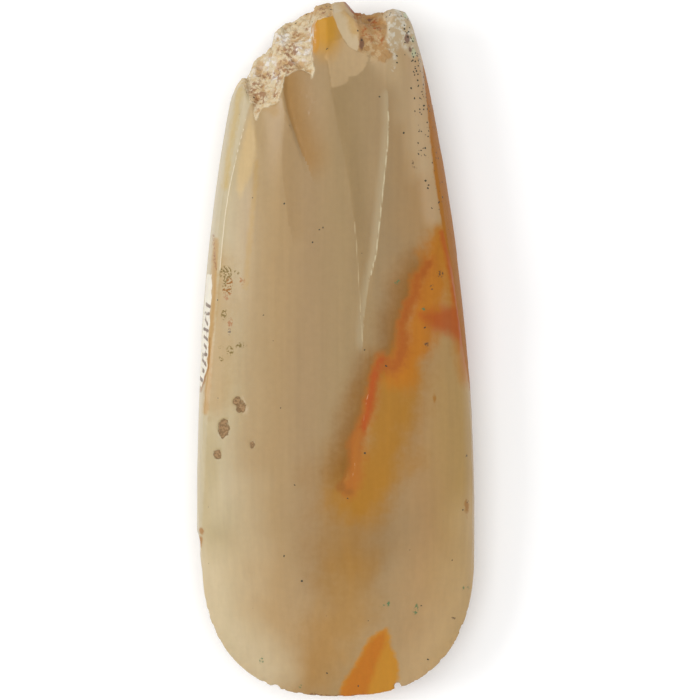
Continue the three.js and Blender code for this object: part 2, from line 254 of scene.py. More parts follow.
def fineMesh():
    shape = bmesh.new()
    shape.from_mesh(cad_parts["axe_head"].data)
    bmesh.ops.remove_doubles(shape, verts=shape.verts, dist=0.001 * mm)
    mesh = bpy.data.meshes.new("axeHead")
    shape.to_mesh(mesh)
    shape.free()
    rough = bpy.data.objects.new("axeHeadRough", mesh)
    bpy.context.scene.collection.objects.link(rough)
    back = rough.vertex_groups.new(name="back")
    remesh = rough.modifiers.new("remesh", "REMESH")
    remesh.mode = "VOXEL"
    remesh.voxel_size = surface["grain"] * mm
    fine = bpy.data.meshes.new_from_object(rough.evaluated_get(bpy.context.evaluated_depsgraph_get()))
    rough.modifiers.clear()
    rough.data = fine
    polish(fine)
    # The back is plainer, so it gets fewer faces
    behind = readPoints(fine)[:, 2] < middle - surface["backFrom"]
    back.add([int(k) for k in np.flatnonzero(behind)], 1.0, "REPLACE")
    thin = rough.modifiers.new("thin", "DECIMATE")
    thin.ratio = 1 - (1 - surface["backThin"]) * float(behind.mean())
    thin.vertex_group = "back"
    thin.use_collapse_triangulate = True
    done = bpy.data.meshes.new_from_object(rough.evaluated_get(bpy.context.evaluated_depsgraph_get()))
    bpy.data.objects.remove(rough)
    return done


def readPoints(mesh):
    flat = np.empty(len(mesh.vertices) * 3)
    mesh.vertices.foreach_get("co", flat)
    return flat.reshape(-1, 3) / mm


def writePoints(mesh, points):
    mesh.vertices.foreach_set("co", (points * mm).ravel())
    mesh.update()


def readNormals(mesh):
    flat = np.empty(len(mesh.vertices) * 3)
    mesh.vertex_normals.foreach_get("vector", flat)
    return flat.reshape(-1, 3)


def neighbourFaces(corners, count):  # the two faces at each edge of a closed mesh of quads
    edgeKeys = np.sort(np.stack([corners, np.roll(corners, -1, axis=1)], axis=2), axis=2).reshape(-1, 2)
    faceOf = np.repeat(np.arange(len(corners)), 4)
    code = edgeKeys[:, 0] * count + edgeKeys[:, 1]
    order = np.argsort(code, kind="stable")
    first, second = order[0::2], order[1::2]
    paired = code[first] == code[second]
    return faceOf[first[paired]], faceOf[second[paired]]


def evenNormals(points, corners):  # each face leans towards neighbours that lie nearly flush with it
    left, right = neighbourFaces(corners, len(points))
    diagonalA = points[corners[:, 2]] - points[corners[:, 0]]
    diagonalB = points[corners[:, 3]] - points[corners[:, 1]]
    normals = np.cross(diagonalA, diagonalB)
    normals /= np.linalg.norm(normals, axis=1, keepdims=True) + 1e-12
    reach = 2 * math.sin(math.radians(surface["facetAngle"]) / 2)
    for _ in range(surface["polishRounds"]):
        apart = ((normals[left] - normals[right]) ** 2).sum(axis=1)
        weight = np.exp(-apart / (2 * reach * reach))[:, None]
        total = normals.copy()
        for axis in range(3):
            total[:, axis] += np.bincount(left, (weight * normals[right])[:, axis], len(normals))
            total[:, axis] += np.bincount(right, (weight * normals[left])[:, axis], len(normals))
        normals = total / np.linalg.norm(total, axis=1, keepdims=True)
    return normals


def polish(mesh):  # evens out the facets and keeps the ridges: the points settle onto the leaned faces
    points = readPoints(mesh)
    corners = np.empty(len(mesh.polygons) * 4, np.int64)
    mesh.polygons.foreach_get("vertices", corners)
    corners = corners.reshape(-1, 4)
    normals = evenNormals(points, corners)
    share = np.bincount(corners.ravel(), minlength=len(points))[:, None]
    for _ in range(surface["settleRounds"]):
        centres = points[corners].mean(axis=1)
        step = np.zeros_like(points)
        for k in range(4):
            owner = corners[:, k]
            lift = ((centres - points[owner]) * normals).sum(axis=1)[:, None] * normals
            for axis in range(3):
                step[:, axis] += np.bincount(owner, lift[:, axis], len(points))
        points = points + step / share
    writePoints(mesh, points)


def spread(mesh, values, rounds):  # averages a value over the neighbours, round by round
    ends = np.empty(len(mesh.edges) * 2, np.int64)
    mesh.edges.foreach_get("vertices", ends)
    a, b = ends[0::2], ends[1::2]
    count = np.bincount(ends, minlength=len(values)) + 1
    for _ in range(rounds):
        around = np.bincount(a, values[b], len(values)) + np.bincount(b, values[a], len(values))
        values = (values + around) / count
    return values


def isBroken(mesh, points, normals):  # distance-like value, positive on the granular broken butt
    x, y, z = points.T
    front = ease(z, middle - 1, middle + 3)
    ragged = surface["breakFray"] * cloud(points, 2.4, 3, 3.0)
    drawn = insideOutline(places["cortex"], x + ragged, y + 0.8 * ragged)
    facing = spread(mesh, normals[:, 1], 3)
    behind = np.minimum((facing - surface["breakFacing"]) * 4, y - surface["breakFrom"])
    smooth = np.maximum(insideOutline(places["slab"], x, y), insideOutline(places["corner"], x, y))
    behind = np.minimum(behind, np.where(front > 0.5, -smooth, far))
    return np.maximum(np.where(front > 0.3, drawn, -far), behind)


def fluteFoot(mesh, points):  # the steep flute runs out softer at its foot than the solid, which is faceted
    x, y, z = points.T
    across = besideRoute(places["steepEdge"], x, y)
    lift = np.clip(spread(mesh, z, surface["footRounds"]) - z, 0, 1)
    return lift * ease(across, 0, 1.2) * ease(across, 9.5, 5) * ease(y, 44, 54)


def addRelief(mesh):
    points = readPoints(mesh)
    normals = readNormals(mesh)
    x, y, z = points.T
    front = ease(z, middle, middle + 4)
    broken = isBroken(mesh, points, normals)
    rough = ease(broken, -0.3, 0.7)
    lumps = np.abs(cloud(points * (1, 0.8, 1), surface["lumpSize"], 2, 4.0)) * 1.5
    lumps = lumps + np.abs(cloud(points, surface["grainSize"], 2, 9.0)) * 0.9
    hollow = ease(insideOutline(places["hollow"], x, y), -0.2, 1.2) * front * ease(normals[:, 1], 0.9, 0.4)
    dents = inSpots(places["pits"], x + 0.3 * cloud(points, 1.3, 2), y + 0.3 * cloud(points, 1.3, 2, 5.0))
    rim = ease(np.abs(z - middle), 1.4, 0.4) * ease(y, -60, -72)
    cut = surface["wave"] * cloud(points, surface["waveSize"], 2)
    cut -= surface["breakDepth"] * rough * (lumps - 0.4)
    cut -= surface["hollowDepth"] * hollow * (0.5 + cloud(points, surface["hollowLumps"], 3, 5.0))
    cut += fluteFoot(mesh, points) * front * (1 - rough)
    cut -= surface["pitDepth"] * front * ease(dents, 0, 0.4)
    cut -= surface["notchDepth"] * rim * ease(cloud(points, surface["notchSize"], 3, 2.0), 0.1, 0.5)
    points = points + normals * cut[:, None]
    # Nothing goes below the table or past the solid's box
    points = np.clip(points, np.array(low) / mm, np.array(high) / mm)
    writePoints(mesh, points)
    return {"broken": broken, "crevice": np.where(broken > 0, lumps, 0)}


mesh = fineMesh()
print("fine mesh", len(mesh.polygons))
fields = addRelief(mesh)
print("relief")

# Each stain's tone lies over those before it. It comes in as the distance to its line, or into its
# outline or spots, goes from the first to the second value of reach. Of the rest, ragged frays its edge
# by that many mm, wander bends its shape, patch breaks it up into lumps of that size, shallow fades it
# out over that depth below the middle, and rough is its roughness. A line's tone ends sharpLeft times
# more sharply on its left, and offset leaves a gap along it.
stains = [
    # slow changes of tone in the stone, with painted shade on the flute walls and a painted light band
    # beside the ridge
    {"name": "paleFace", "line": [(-22, -62), (-14, -71), (-4, -77), (6, -73), (16, -70), (26, -62)],
     "reach": (20, 0), "tone": "b8976a", "strength": 0.4, "wander": 2, "ragged": 1},
    {"name": "browner", "line": [(3, -34), (3.4, -44), (3, -51)], "reach": (16, 0), "tone": "926318",
     "strength": 0.6, "wander": 2.5, "ragged": 1.5},
    {"name": "goldLow", "line": [(4, -58), (1.6, -68), (-2, -76), (-6, -84)], "reach": (13, 0),
     "tone": "9e6c10", "strength": 0.5, "wander": 2.5, "ragged": 1.5},
    {"name": "paleBlade", "line": [(-32, -58), (-30, -69), (-24, -77), (-17, -83)], "reach": (12, 0),
     "tone": "c3b18f", "strength": 0.7, "wander": 1.5, "ragged": 0.8},
    {"name": "paleLeft", "line": [(-24, -36), (-23, -50), (-22, -62)], "reach": (9, 0), "tone": "b8a482",
     "strength": 0.4, "wander": 2, "ragged": 1},
    {"name": "warmBlade", "line": [(36, -44), (35, -60), (31, -70), (25, -79), (18, -86)], "reach": (12, 0),
     "tone": "ba9d72", "strength": 0.6, "wander": 2, "ragged": 1},
    {"name": "yellowCheek", "outline": "cheek", "reach": (-0.2, 1.6), "tone": "b99b64", "strength": 0.7,
     "ragged": 0.35},
    {"name": "goldStreak", "line": [(-20.3, 48), (-20.6, 42), (-21.4, 34), (-22.4, 25), (-23, 16)],
     "reach": (1.2, 0), "tone": "ac8a4c", "strength": 0.5, "ragged": 0.8},
    {"name": "goldFoot", "line": [(-17.6, 62.6), (-15.4, 61.2)], "reach": (2.4, 0.2), "tone": "a07a38",
     "strength": 0.5, "wander": 0.6, "ragged": 0.9},
    {"name": "goldLeft", "line": [(-30, 22), (-30, 12), (-30, 2), (-30.4, -7), (-31, -13)], "reach": (7, 0),
     "tone": "9c7a3c", "strength": 0.7, "wander": 1.2, "ragged": 0.8},
    # painted shade: the left flute darkens just right of its edge, where its wall faces away from the key
    # light
    {"name": "paintedFluteShade", "line": "leftFlute", "sharpLeft": 18, "reach": (6, 0), "tone": "94764c",
     "strength": 0.45, "ragged": 0.1},
    # painted shade along the long flute's left edge, where its wall faces away from the key light
    {"name": "paintedLongFluteShade", "line": "longEdge", "sharpLeft": 20, "reach": (7, 0), "tone": "957a50",
     "strength": 0.4, "ragged": 0.1},
    {"name": "shell", "outline": "shell", "reach": (-0.2, 0.4), "tone": "b89c74", "strength": 0.65,
     "ragged": 0.4},
    # painted shade in the steep flute, crisp at its left edge and fading out to the right
    {"name": "paintedSteepFluteShade", "line": [(-13.7, 69.6), (-13, 65), (-12.1, 60.8), (-10.7, 56.5), (-9.3, 52.5),
     (-8.2, 49.4)], "sharpLeft": 25, "reach": (9, 0), "tone": "946828", "strength": 0.62, "ragged": 0.15},
    # painted light: a pale band on the wall left of the ridge, which faces the key light
    {"name": "paintedRidgeLight", "line": "ridge", "sharpLeft": 14, "reach": (2.6, 0.1), "tone": "aa9a7a",
     "strength": 0.55, "ragged": 0.4},
    {"name": "paleButt", "outline": "corner", "reach": (-6, 2), "tone": "b29468", "strength": 0.6,
     "wander": 1.2, "ragged": 1},
    {"name": "paleArris", "line": [(18.4, 84), (20.2, 75), (21.6, 63), (22.7, 54), (23.8, 44), (25, 34)],
     "reach": (4, 0.5), "tone": "b79b78", "strength": 0.6, "ragged": 0.8},
    {"name": "paleRight", "line": [(14, 74), (18.6, 66), (20.4, 56), (21.6, 48)], "reach": (6.5, 0),
     "tone": "b9a27e", "strength": 0.45, "wander": 1.5, "ragged": 1},
    # iron stain along the crack and towards the right side
    {"name": "amberLow", "line": [(16, -7), (14, -16), (12.6, -26), (10, -32), (6, -38)], "reach": (12, 1),
     "tone": "a06c10", "strength": 0.9, "wander": 2.6, "ragged": 2},
    {"name": "olive", "line": [(3.4, -30), (4.4, -27), (5.2, -21), (7.2, -16), (8.4, -11), (10.2, -5),
     (13.6, -5.4), (15.8, 0), (16.6, 7), (18.6, 14), (22, 20)], "sharpLeft": 3, "reach": (9, 0.5),
     "tone": "80520a", "strength": 0.85, "wander": 0.8, "ragged": 0.8},
    {"name": "amber", "line": [(27.6, 28), (25.4, 20), (23, 11), (20.4, 1), (17, -6)], "reach": (7, 1),
     "tone": "ae6a0c", "strength": 0.95, "wander": 2, "ragged": 1.8},
    {"name": "amberSide", "line": [(27.6, 29.4), (30, 19), (32, 10), (33.4, 2), (34.4, -6)],
     "reach": (5, 0.5), "tone": "aa6c10", "strength": 0.8, "wander": 1, "ragged": 1},
    {"name": "orange", "line": "vein", "sharpLeft": 1.8, "reach": (4.4, 0.4), "tone": "a65e16",
     "strength": 0.8, "wander": 1, "ragged": 1.6},
    {"name": "redPatch", "outline": "redPatch", "reach": (-2.2, 1.8), "tone": "a44a0c", "strength": 0.85,
     "wander": 0.8, "ragged": 1.2},
    {"name": "redArris", "line": [(27.4, 30), (28.8, 24.6), (30, 18), (30.9, 12.4)], "reach": (1.5, 0.1),
     "tone": "a95208", "strength": 0.85, "wander": 0.3, "ragged": 0.5},
    {"name": "rustVein", "line": [(23.4, 22.4), (20.6, 18.5), (20, 13.9), (17.6, 11.4), (16.6, 6.3),
     (16.8, 1.8), (16.2, -2), (14.8, -4.1), (11.5, -1.8), (10, -4.3), (9.2, -8.1), (8.1, -12.7),
     (7.3, -17.2), (6, -20.6)], "offset": 0.3, "sharpLeft": 1.3, "reach": (2.1, 0), "tone": "9c500e",
     "strength": 0.75, "wander": 0.8, "ragged": 1.5},
    {"name": "rustLow", "line": [(6, -20.6), (4.9, -24.8), (5, -28.6), (4.6, -31)], "offset": 0.3,
     "reach": (1.2, 0), "tone": "a4641c", "strength": 0.65, "wander": 0.4, "ragged": 1},
    {"name": "brightVein", "line": [(11.4, -2.6), (10.2, -5), (9.3, -8.4), (8.5, -12.4), (8, -16),
     (7, -19.6)], "offset": 0.2, "sharpLeft": 1.4, "reach": (1.7, 0.1), "tone": "a44a0c", "strength": 0.9,
     "ragged": 0.8},
    {"name": "veinEnd", "spots": [(1.4, -35.2, 2.6, 3.2), (3.2, -36.4, 2.6, 1.8)], "reach": (-0.7, 0.9),
     "tone": "8c5616", "strength": 0.8, "ragged": 0.9},
    {"name": "crack", "line": [(9, -8.9), (8, -12.8), (7.5, -16.2), (7, -19), (6.6, -20.1), (5.6, -20.6),
     (4.7, -23), (4.6, -26.4), (4.3, -28), (5, -28.8), (4.8, -31), (3.8, -33.8)], "reach": (0.16, 0.05),
     "tone": "c8a67c", "strength": 0.55, "ragged": 0.12, "patch": 1.6},
    {"name": "wedge", "outline": "wedge", "reach": (-0.9, 0.7), "tone": "b77c1a", "strength": 0.95,
     "wander": 0.4, "ragged": 0.9},
    {"name": "wedgeRed", "outline": "wedge", "leftOf": "wedgeFold", "reach": (-0.7, 1.3), "tone": "b06412",
     "strength": 0.8, "wander": 0.2, "ragged": 0.8},
    # the narrow sides
    # the left side is paler: partly its own tone, partly painted light, as it faces the key
    {"name": "leftSideToneAndLight", "leftOf": "leftArris", "reach": (-0.3, 0.5), "tone": "b5a788", "strength": 0.8,
     "ragged": 0.2},
    {"name": "yellowStreak", "line": [(-24.6, 67), (-26, 60), (-27.4, 50), (-28.6, 42)], "reach": (1.5, 0),
     "tone": "b69a5c", "strength": 0.65, "wander": 0.5, "ragged": 1},
    {"name": "sideOchre", "line": [(-30.9, 28), (-31.2, 20), (-31.5, 12), (-32.1, 4), (-32.6, -6),
     (-33.4, -16)], "reach": (1.3, 0.2), "tone": "aa8040", "strength": 0.75, "ragged": 0.5},
    # the right side is deep amber: partly an iron stain, partly painted shade, as it faces away from the key
    {"name": "rightSideAmberAndShade", "rightOf": "rightArris", "reach": (-0.2, 0.4), "tone": "a06200", "strength": 0.95,
     "ragged": 0.3, "shallow": 11, "rough": 0.6},
    {"name": "buttSide", "line": [(19.4, 87), (21.4, 80), (22.2, 75)], "reach": (2.4, 1), "tone": "b3946a",
     "strength": 0.9, "ragged": 1},
    # painted highlights: thin pale lines along the edges that catch the light
    {"name": "leftEdgeHighlight", "line": [(-23, 59.5), (-25.2, 51), (-27.3, 41.6), (-28.4, 34.7), (-29.2, 27),
     (-29.8, 20)], "reach": (0.22, 0.04), "tone": "dccfb4", "strength": 0.65, "ragged": 0.08},
    {"name": "ridgeHighlight", "line": [(13.5, 61), (13.6, 57), (13.3, 51.9), (12.7, 45.9), (12, 39.3),
     (11.2, 32), (10.4, 24.4), (9, 19)], "reach": (0.3, 0.04), "tone": "c8bb9a", "strength": 0.7,
     "ragged": 0.1},
    {"name": "longLineHighlight", "line": [(4.8, 32.7), (5.3, 27.4), (5.9, 18), (6.5, 8), (7, 1)],
     "reach": (0.28, 0.05), "tone": "c0ac88", "strength": 0.5, "ragged": 0.1},
    # the broken butt
    {"name": "amberWindow", "spots": [(-2.6, 83, 11, 20)], "reach": (-1, 4), "tone": "b88422",
     "strength": 0.95, "ragged": 0.4},
    {"name": "amberCore", "spots": [(-5.3, 80, 2.6, 9)], "reach": (-0.2, 0.3), "tone": "b87c00",
     "strength": 0.7, "ragged": 0.2},
    {"name": "slab", "outline": "slab", "reach": (-0.15, 0.15), "tone": "bba684", "strength": 0.95,
     "ragged": 0.25, "rough": 0.5},
    {"name": "slabOchre", "line": [(0.4, 90), (2.2, 88.4), (4, 85), (5, 81.6)], "reach": (2, 0.2),
     "tone": "b08a4c", "strength": 0.7, "ragged": 0.9},
    {"name": "corner", "outline": "corner", "reach": (-0.3, 0.5), "tone": "b29d7c", "strength": 0.9,
     "wander": 0.3, "ragged": 0.6, "rough": 0.5},
    {"name": "cornerPale", "spots": [(16, 83.4, 5.6, 9), (14.6, 78.6, 3, 4.6), (17.4, 87, 6, 3.4),
     (18.6, 80, 4, 5)], "reach": (-0.8, 0.8), "tone": "c6bfae", "strength": 0.85, "ragged": 0.8,
     "patch": 1.6, "rough": 0.5},
    {"name": "mint", "spots": [(20.1, 76.3, 1, 2.6), (18, 86, 0.9, 1.6), (19.9, 79.6, 0.7, 2)],
     "reach": (-0.2, 0.2), "tone": "a9b190", "strength": 0.7, "ragged": 0.4, "rough": 0.5},
    {"name": "cortex", "field": "broken", "reach": (-0.25, 0.2), "tone": "d0bf9f", "strength": 1.0,
     "ragged": 0.5, "rough": 0.85},
    {"name": "cortexTan", "field": "broken", "reach": (-0.1, 0.4), "tone": "c0a070", "strength": 0.5,
     "ragged": 0.4, "patch": 1.6, "rough": 0.85},
    {"name": "cortexWhite", "spots": [(-14, 81, 4, 5), (-8.4, 77.6, 4.6, 4.4), (-18, 74, 5.4, 3.6),
     (-9.6, 74.4, 4, 2), (-6.4, 80, 1.6, 6), (-22, 71.4, 2.6, 2.4), (-15.4, 70, 2, 6), (-10, 84.6, 3, 2.4)],
     "reach": (-0.8, 0.6), "tone": "dcd6cd", "strength": 0.9, "ragged": 0.6, "patch": 1.6, "rough": 0.8},
    {"name": "hollow", "outline": "hollow", "reach": (-0.5, 0.5), "tone": "a58052", "strength": 0.95,
     "wander": 0.4, "ragged": 0.8, "rough": 0.75},
    {"name": "hollowPale", "spots": [(10, 77.6, 7, 8), (11.6, 87, 3, 3)], "reach": (-1, 1.4),
     "tone": "b59a72", "strength": 0.85, "ragged": 0.8, "patch": 1.6, "rough": 0.8},
    {"name": "hollowRust", "spots": [(10, 84, 3, 3.4), (8.8, 85.2, 1.6, 2), (10.6, 82.2, 2, 2.4),
     (5.6, 86, 2.6, 2), (7.6, 81.6, 1.8, 3), (11.6, 79.4, 1.6, 2.2), (9, 79.6, 1.2, 1.6)],
     "reach": (-0.6, 0.6), "tone": "964c18", "strength": 0.8, "ragged": 0.8, "patch": 1, "rough": 0.8},
    {"name": "crestTan", "outline": "crestLump", "reach": (-0.4, 0.6), "tone": "b9986a", "strength": 0.8,
     "ragged": 0.5, "rough": 0.8},
    {"name": "cortexOchre", "field": "crevice", "reach": (0.55, 1.05), "tone": "b48a54", "strength": 0.6,
     "ragged": 0.3, "rough": 0.85},
    {"name": "cortexBrown", "spots": [(-19.6, 65.6, 3.6, 7), (-21.6, 67.6, 2.4, 4.4),
     (-17.8, 70.4, 4.4, 2.8), (-12.4, 72.8, 4.4, 4), (-14.5, 70.6, 1.2, 5), (-14.2, 77, 1.2, 1.6),
     (-11.6, 77, 4, 4.4), (-12, 83.3, 1.8, 1.8), (-10.3, 81.2, 1.4, 2.6), (-7.5, 83.4, 1.6, 1.8),
     (-3.4, 87.6, 1.8, 3.4), (-15.4, 65.4, 1.4, 1.8)], "reach": (-0.7, 0.6), "tone": "8c5c38",
     "strength": 0.75, "ragged": 1, "patch": 1, "rough": 0.85},
    {"name": "crestOrange", "line": [(-16, 83.4), (-12, 85.6), (-8, 87), (-6.2, 87.4)], "reach": (0.9, 0.2),
     "tone": "c0803c", "strength": 0.75, "ragged": 0.6, "rough": 0.8},
    {"name": "crestRust", "line": [(2.6, 90.2), (3.4, 88.8), (4.4, 87.2)], "reach": (1, 0.3),
     "tone": "8a4419", "strength": 0.85, "ragged": 0.5},
    {"name": "whiteStreak", "line": [(13.6, 79.6), (13.8, 77.8), (14.8, 76.6), (15.2, 74.6), (14.8, 73.2),
     (15.2, 71.4)], "reach": (0.9, 0.1), "tone": "c4baa6", "strength": 0.9, "ragged": 1, "patch": 1.6,
     "rough": 0.6},
    {"name": "darkHollows", "spots": [(6.75, 78.4, 1.5, 3.2), (18.4, 79.8, 1.5, 2.7), (19.1, 77.2, 1, 1.5),
     (8.7, 85, 0.9, 0.9)], "reach": (-0.15, 0.25), "tone": "6d4a38", "strength": 0.85, "ragged": 0.5},
    # earth and specks left on the stone
    {"name": "pitEarth", "spots": "pits", "reach": (-0.2, 0.25), "tone": "7c6040", "strength": 0.9,
     "wander": 0.9, "ragged": 0.9, "rough": 0.9},
    {"name": "pitPale", "spots": "pits", "reach": (0, 0.4), "tone": "a2815c", "strength": 0.8,
     "wander": 0.6, "ragged": 0.6, "patch": 0.6, "rough": 0.9},
    {"name": "rustSpots", "spots": [(-34.6, -47, 1.6, 1.8), (-35, -49.6, 1.4, 2.8), (33.8, -40.6, 1.2, 4.6),
     (25.4, -12.6, 0.7, 3)], "reach": (-0.2, 0.3), "tone": "98651f", "strength": 0.8, "ragged": 0.6},
    {"name": "oliveFlecks", "spots": [(-28.2, 19.6, 3, 3.4), (-27.8, 16.4, 2.4, 4.4),
     (-28.6, 8.8, 1.2, 2.2), (-25.4, 19.6, 1.2, 0.8), (-24.4, 1.1, 2.6, 1.2), (-27.1, -0.4, 1.4, 2),
     (-29.3, 0.4, 0.8, 0.6), (-29.3, -2.3, 1.1, 1)], "reach": (-0.4, 0.1), "tone": "6f5c22",
     "strength": 0.85, "ragged": 0.4, "patch": 0.6, "rough": 0.6},
    {"name": "orangeFlecks", "spots": [(-27.8, 14.6, 2, 3.4), (-27.2, 17, 1.2, 2.4), (-24, 17.6, 1.2, 1.8),
     (-27.1, 6.8, 1, 2.2)], "reach": (-0.4, 0.1), "tone": "945a14", "strength": 0.85, "ragged": 0.4,
     "patch": 0.6},
    {"name": "sideDots", "line": [(-31.6, 29.5), (-31.3, 25), (-30.9, 20)], "reach": (0.5, 0.1),
     "tone": "8a5c30", "strength": 0.8, "ragged": 0.3, "patch": 0.6},
    {"name": "sideRust", "line": [(-33.7, -7.2), (-34.3, -9), (-34.9, -10.8)], "reach": (0.6, 0.1),
     "tone": "87560f", "strength": 0.85, "ragged": 0.4},
    {"name": "darkFlecks", "spots": [(26.9, 19.4, 1.8, 1.7), (24.8, 16, 1.2, 1.2), (23.4, 1.3, 1.2, 1.2),
     (-27.2, 4.5, 0.8, 1.6), (-23.8, 17.2, 0.8, 1.2), (34, -39.2, 0.8, 0.8), (33.7, -27.4, 0.6, 0.8),
     (9, -51.9, 0.6, 0.6), (30.4, -69.5, 1, 0.8), (19.8, 47.6, 0.7, 1.4), (20.5, 46.4, 0.8, 0.6),
     (13.3, 53.7, 0.7, 0.9)], "reach": (-0.2, 0.2), "tone": "4d3a2c", "strength": 0.85, "ragged": 0.4,
     "patch": 0.6},
    {"name": "greenFlecks", "spots": [(15.9, 17.2, 1.6, 1.2), (13.4, 17, 0.9, 0.8), (22.5, 10.4, 1, 0.8),
     (11.9, -66, 1.6, 0.8), (13.6, -65.4, 0.8, 1.2), (20.4, -67.6, 1.6, 1.4), (20.9, -66.4, 0.8, 1.6),
     (-19.2, -80.4, 1, 1.8), (-9, -87.2, 1, 1), (33, -61.8, 0.7, 1), (34.2, -61.6, 0.6, 0.8)],
     "reach": (-0.2, 0.1), "tone": "47704a", "strength": 0.85, "ragged": 0.3, "patch": 0.6},
    {"name": "edgeEarth", "line": [(-6, -89.6), (-1, -90.2), (4, -90.3), (8, -90.2)], "reach": (1.1, 0.2),
     "tone": "63391a", "strength": 0.85, "ragged": 0.4, "patch": 1},
]


def keep(mesh, name, values):  # stores a value for each point, for the stone to read
    data = mesh.attributes.new(name, "FLOAT", "POINT").data
    data.foreach_set("value", np.clip(values, -30, 30).astype(np.float32))


def place(named):  # a line, outline or spots, given by name or in full
    return places[named] if isinstance(named, str) else named


def stainDepth(stain, fields, x, y, behind):  # how far in from its edge each point is
    if "line" in stain:
        value = besideRoute(place(stain["line"]), x, y) - stain.get("offset", 0)
        return np.maximum(value, -value * stain.get("sharpLeft", 1))
    if "spots" in stain:
        return inSpots(place(stain["spots"]), x, y) - far * behind
    if "outline" in stain:
        return insideOutline(place(stain["outline"]), x, y)
    if "field" in stain:
        return fields[stain["field"]]
    return np.full(x.shape, far)


def markStains(mesh, fields):
    points = readPoints(mesh)
    x, y, z = points.T
    behind = ease(z, middle, middle - 5)  # the stains run down through the stone and lean a little
    lean = 3 * behind
    bendX, bendY = cloud(points, 7, 3, 1.0), cloud(points, 7, 3, 6.0)
    for stain in stains:
        bend = stain.get("wander", 0)
        value = stainDepth(stain, fields, x + lean + bend * bendX, y + bend * bendY, behind)
        if "leftOf" in stain:
            value = np.minimum(value, -besideRoute(place(stain["leftOf"]), x, y))
        if "rightOf" in stain:
            value = np.minimum(value, besideRoute(place(stain["rightOf"]), x, y))
        if "shallow" in stain:
            least, most = stain["reach"][0] - stain["ragged"], stain["reach"][1] + stain["ragged"]
            kept = np.clip(1 + (z + 1.2 * bendX - middle) / stain["shallow"], 0, 1)
            value = least + (np.clip(value, least, most) - least) * kept
        keep(mesh, stain["name"], value)


markStains(mesh, fields)
print("stains", len(stains))

# The left side's strip of white paint, with a row of short brown strokes that aren't letters. Its edge
# is y and x along the strip, so it keeps its width as seen from above
paint = {
    "edge": [(-9.6, -34.5), (-7, -33.7), (-5, -33), (2, -32.6), (7, -32.4), (13, -31.9), (19.5, -31.8)],
    "low": 0.6,  # its lower edge's height above the middle
    "strokes": 10,
    "leans": (0.5, 0.3, 0.7, 0.1, 0.4),
    "talls": (3, 1.6, 2.6),
    "steep": 2.4,  # the side is steep, so a step across is about this much along it
    "white": "d9d2c2",
    "brown": "5e4334",
}


def paintStrokes(y, down, start, end):  # distance to the nearest stroke
    pace = (end - start - 8) / paint["strokes"]
    nearest = np.full(y.shape, far)
    for k in range(paint["strokes"]):
        at = start + 2 + k * pace
        lean = paint["leans"][k % len(paint["leans"])]
        tall = paint["talls"][k % len(paint["talls"])]
        stroke = [(at - lean, 2.2 - tall / 2), (at + lean, 2.2 + tall / 2)]
        nearest = np.minimum(nearest, np.abs(besideRoute(stroke, y, down)))
    return nearest


def markPaint(mesh):
    points = readPoints(mesh)
    x, y, z = points.T
    ends, edge = np.array(paint["edge"]).T
    frayed = 0.3 * cloud(points, 2.2, 3, 8.0)
    across = np.interp(y, ends, edge) - x
    strip = np.minimum(np.minimum(y - ends[0], ends[-1] - y), np.minimum(z - middle - paint["low"], across))
    rim = np.abs(across + 0.25 + 0.3 * frayed) + np.maximum(np.abs(y + 3) - 6, 0)
    strokes = paintStrokes(y, across * paint["steep"], ends[0], ends[-1])
    shown = (x < 0) & (z > middle + paint["low"] - 0.3)
    keep(mesh, "paintStrip", np.where(x < 0, strip, -far) + frayed)
    keep(mesh, "paintRim", np.where(shown, rim, far))
    keep(mesh, "paintStrokes", np.where(shown, strokes, far))


markPaint(mesh)
stains.extend([
    {"name": "paintStrip", "reach": (0, 0.25), "tone": paint["white"], "strength": 0.95, "ragged": 0.2,
     "rough": 0.6},
    {"name": "paintRim", "reach": (0.35, 0.1), "tone": "96651c", "strength": 0.8, "ragged": 0.15},
    {"name": "paintStrokes", "reach": (0.55, 0.3), "tone": paint["brown"], "strength": 0.8, "ragged": 0.2},
])

# The polished stone, with sizes in millimetres
jade = {
    # its own colour from the left side to the right, as x and tone
    "across": [(-33, "af9d77"), (-28, "a7956f"), (-22, "a58c65"), (-15, "a2865d"), (-7, "9b805b"),
               (2, "9a815a"), (12, "937a56"), (22, "a28054"), (32, "a98851")],
    "cloudSize": 15,
    "swirl": 9.0,  # how far the clouds push its colours aside
    "mottleSize": 1.5,
    "streakWide": 1.5,  # faint streaks run along the stone
    "streakLong": 30,
    "streakShade": 0.035,  # share by which streaks and mottling lighten and darken it
    "mottleShade": 0.03,
    "roughness": 0.33,
    "index": 1.62,
    "gleam": 0.3,  # long burial has dulled the polish
    "glow": 0.12,  # share of the light that passes under the surface
    "glowReach": 2.0,
    "grit": 0.45,  # broken grain, drawn at the size that still shows
    "gritDepth": 0.5,
}

# Tiny dark specks, thickest along the butt's right edge: their spacing, and the share of places with one
specks = {"apart": 0.9, "tone": "3c382b", "few": 0.004, "edge": 0.85, "butt": 0.1}


def ownColour(tree, inMm):  # runs from cream on the left to tan on the right
    clouds = add(tree, "ShaderNodeTexNoise", {"Vector": inMm, "Scale": 1 / jade["cloudSize"],
                 "Detail": 3}).outputs[0]
    across = add(tree, "ShaderNodeSeparateXYZ", {0: inMm}).outputs[0]
    swirl = add(tree, "ShaderNodeMath", {0: clouds, 1: jade["swirl"], 2: across},
                operation="MULTIPLY_ADD").outputs[0]
    first, last = jade["across"][0][0], jade["across"][-1][0]
    where = add(tree, "ShaderNodeMapRange", {0: swirl, 1: first + jade["swirl"] / 2,
                2: last + jade["swirl"] / 2}).outputs[0]
    ramp = add(tree, "ShaderNodeValToRGB", {0: where})
    for k, (at, tone) in enumerate(jade["across"]):
        spot = (at - first) / (last - first)
        stop = ramp.color_ramp.elements[k] if k < 2 else ramp.color_ramp.elements.new(spot)
        stop.position = spot
        stop.color = linear(tone)
    return ramp.outputs[0]


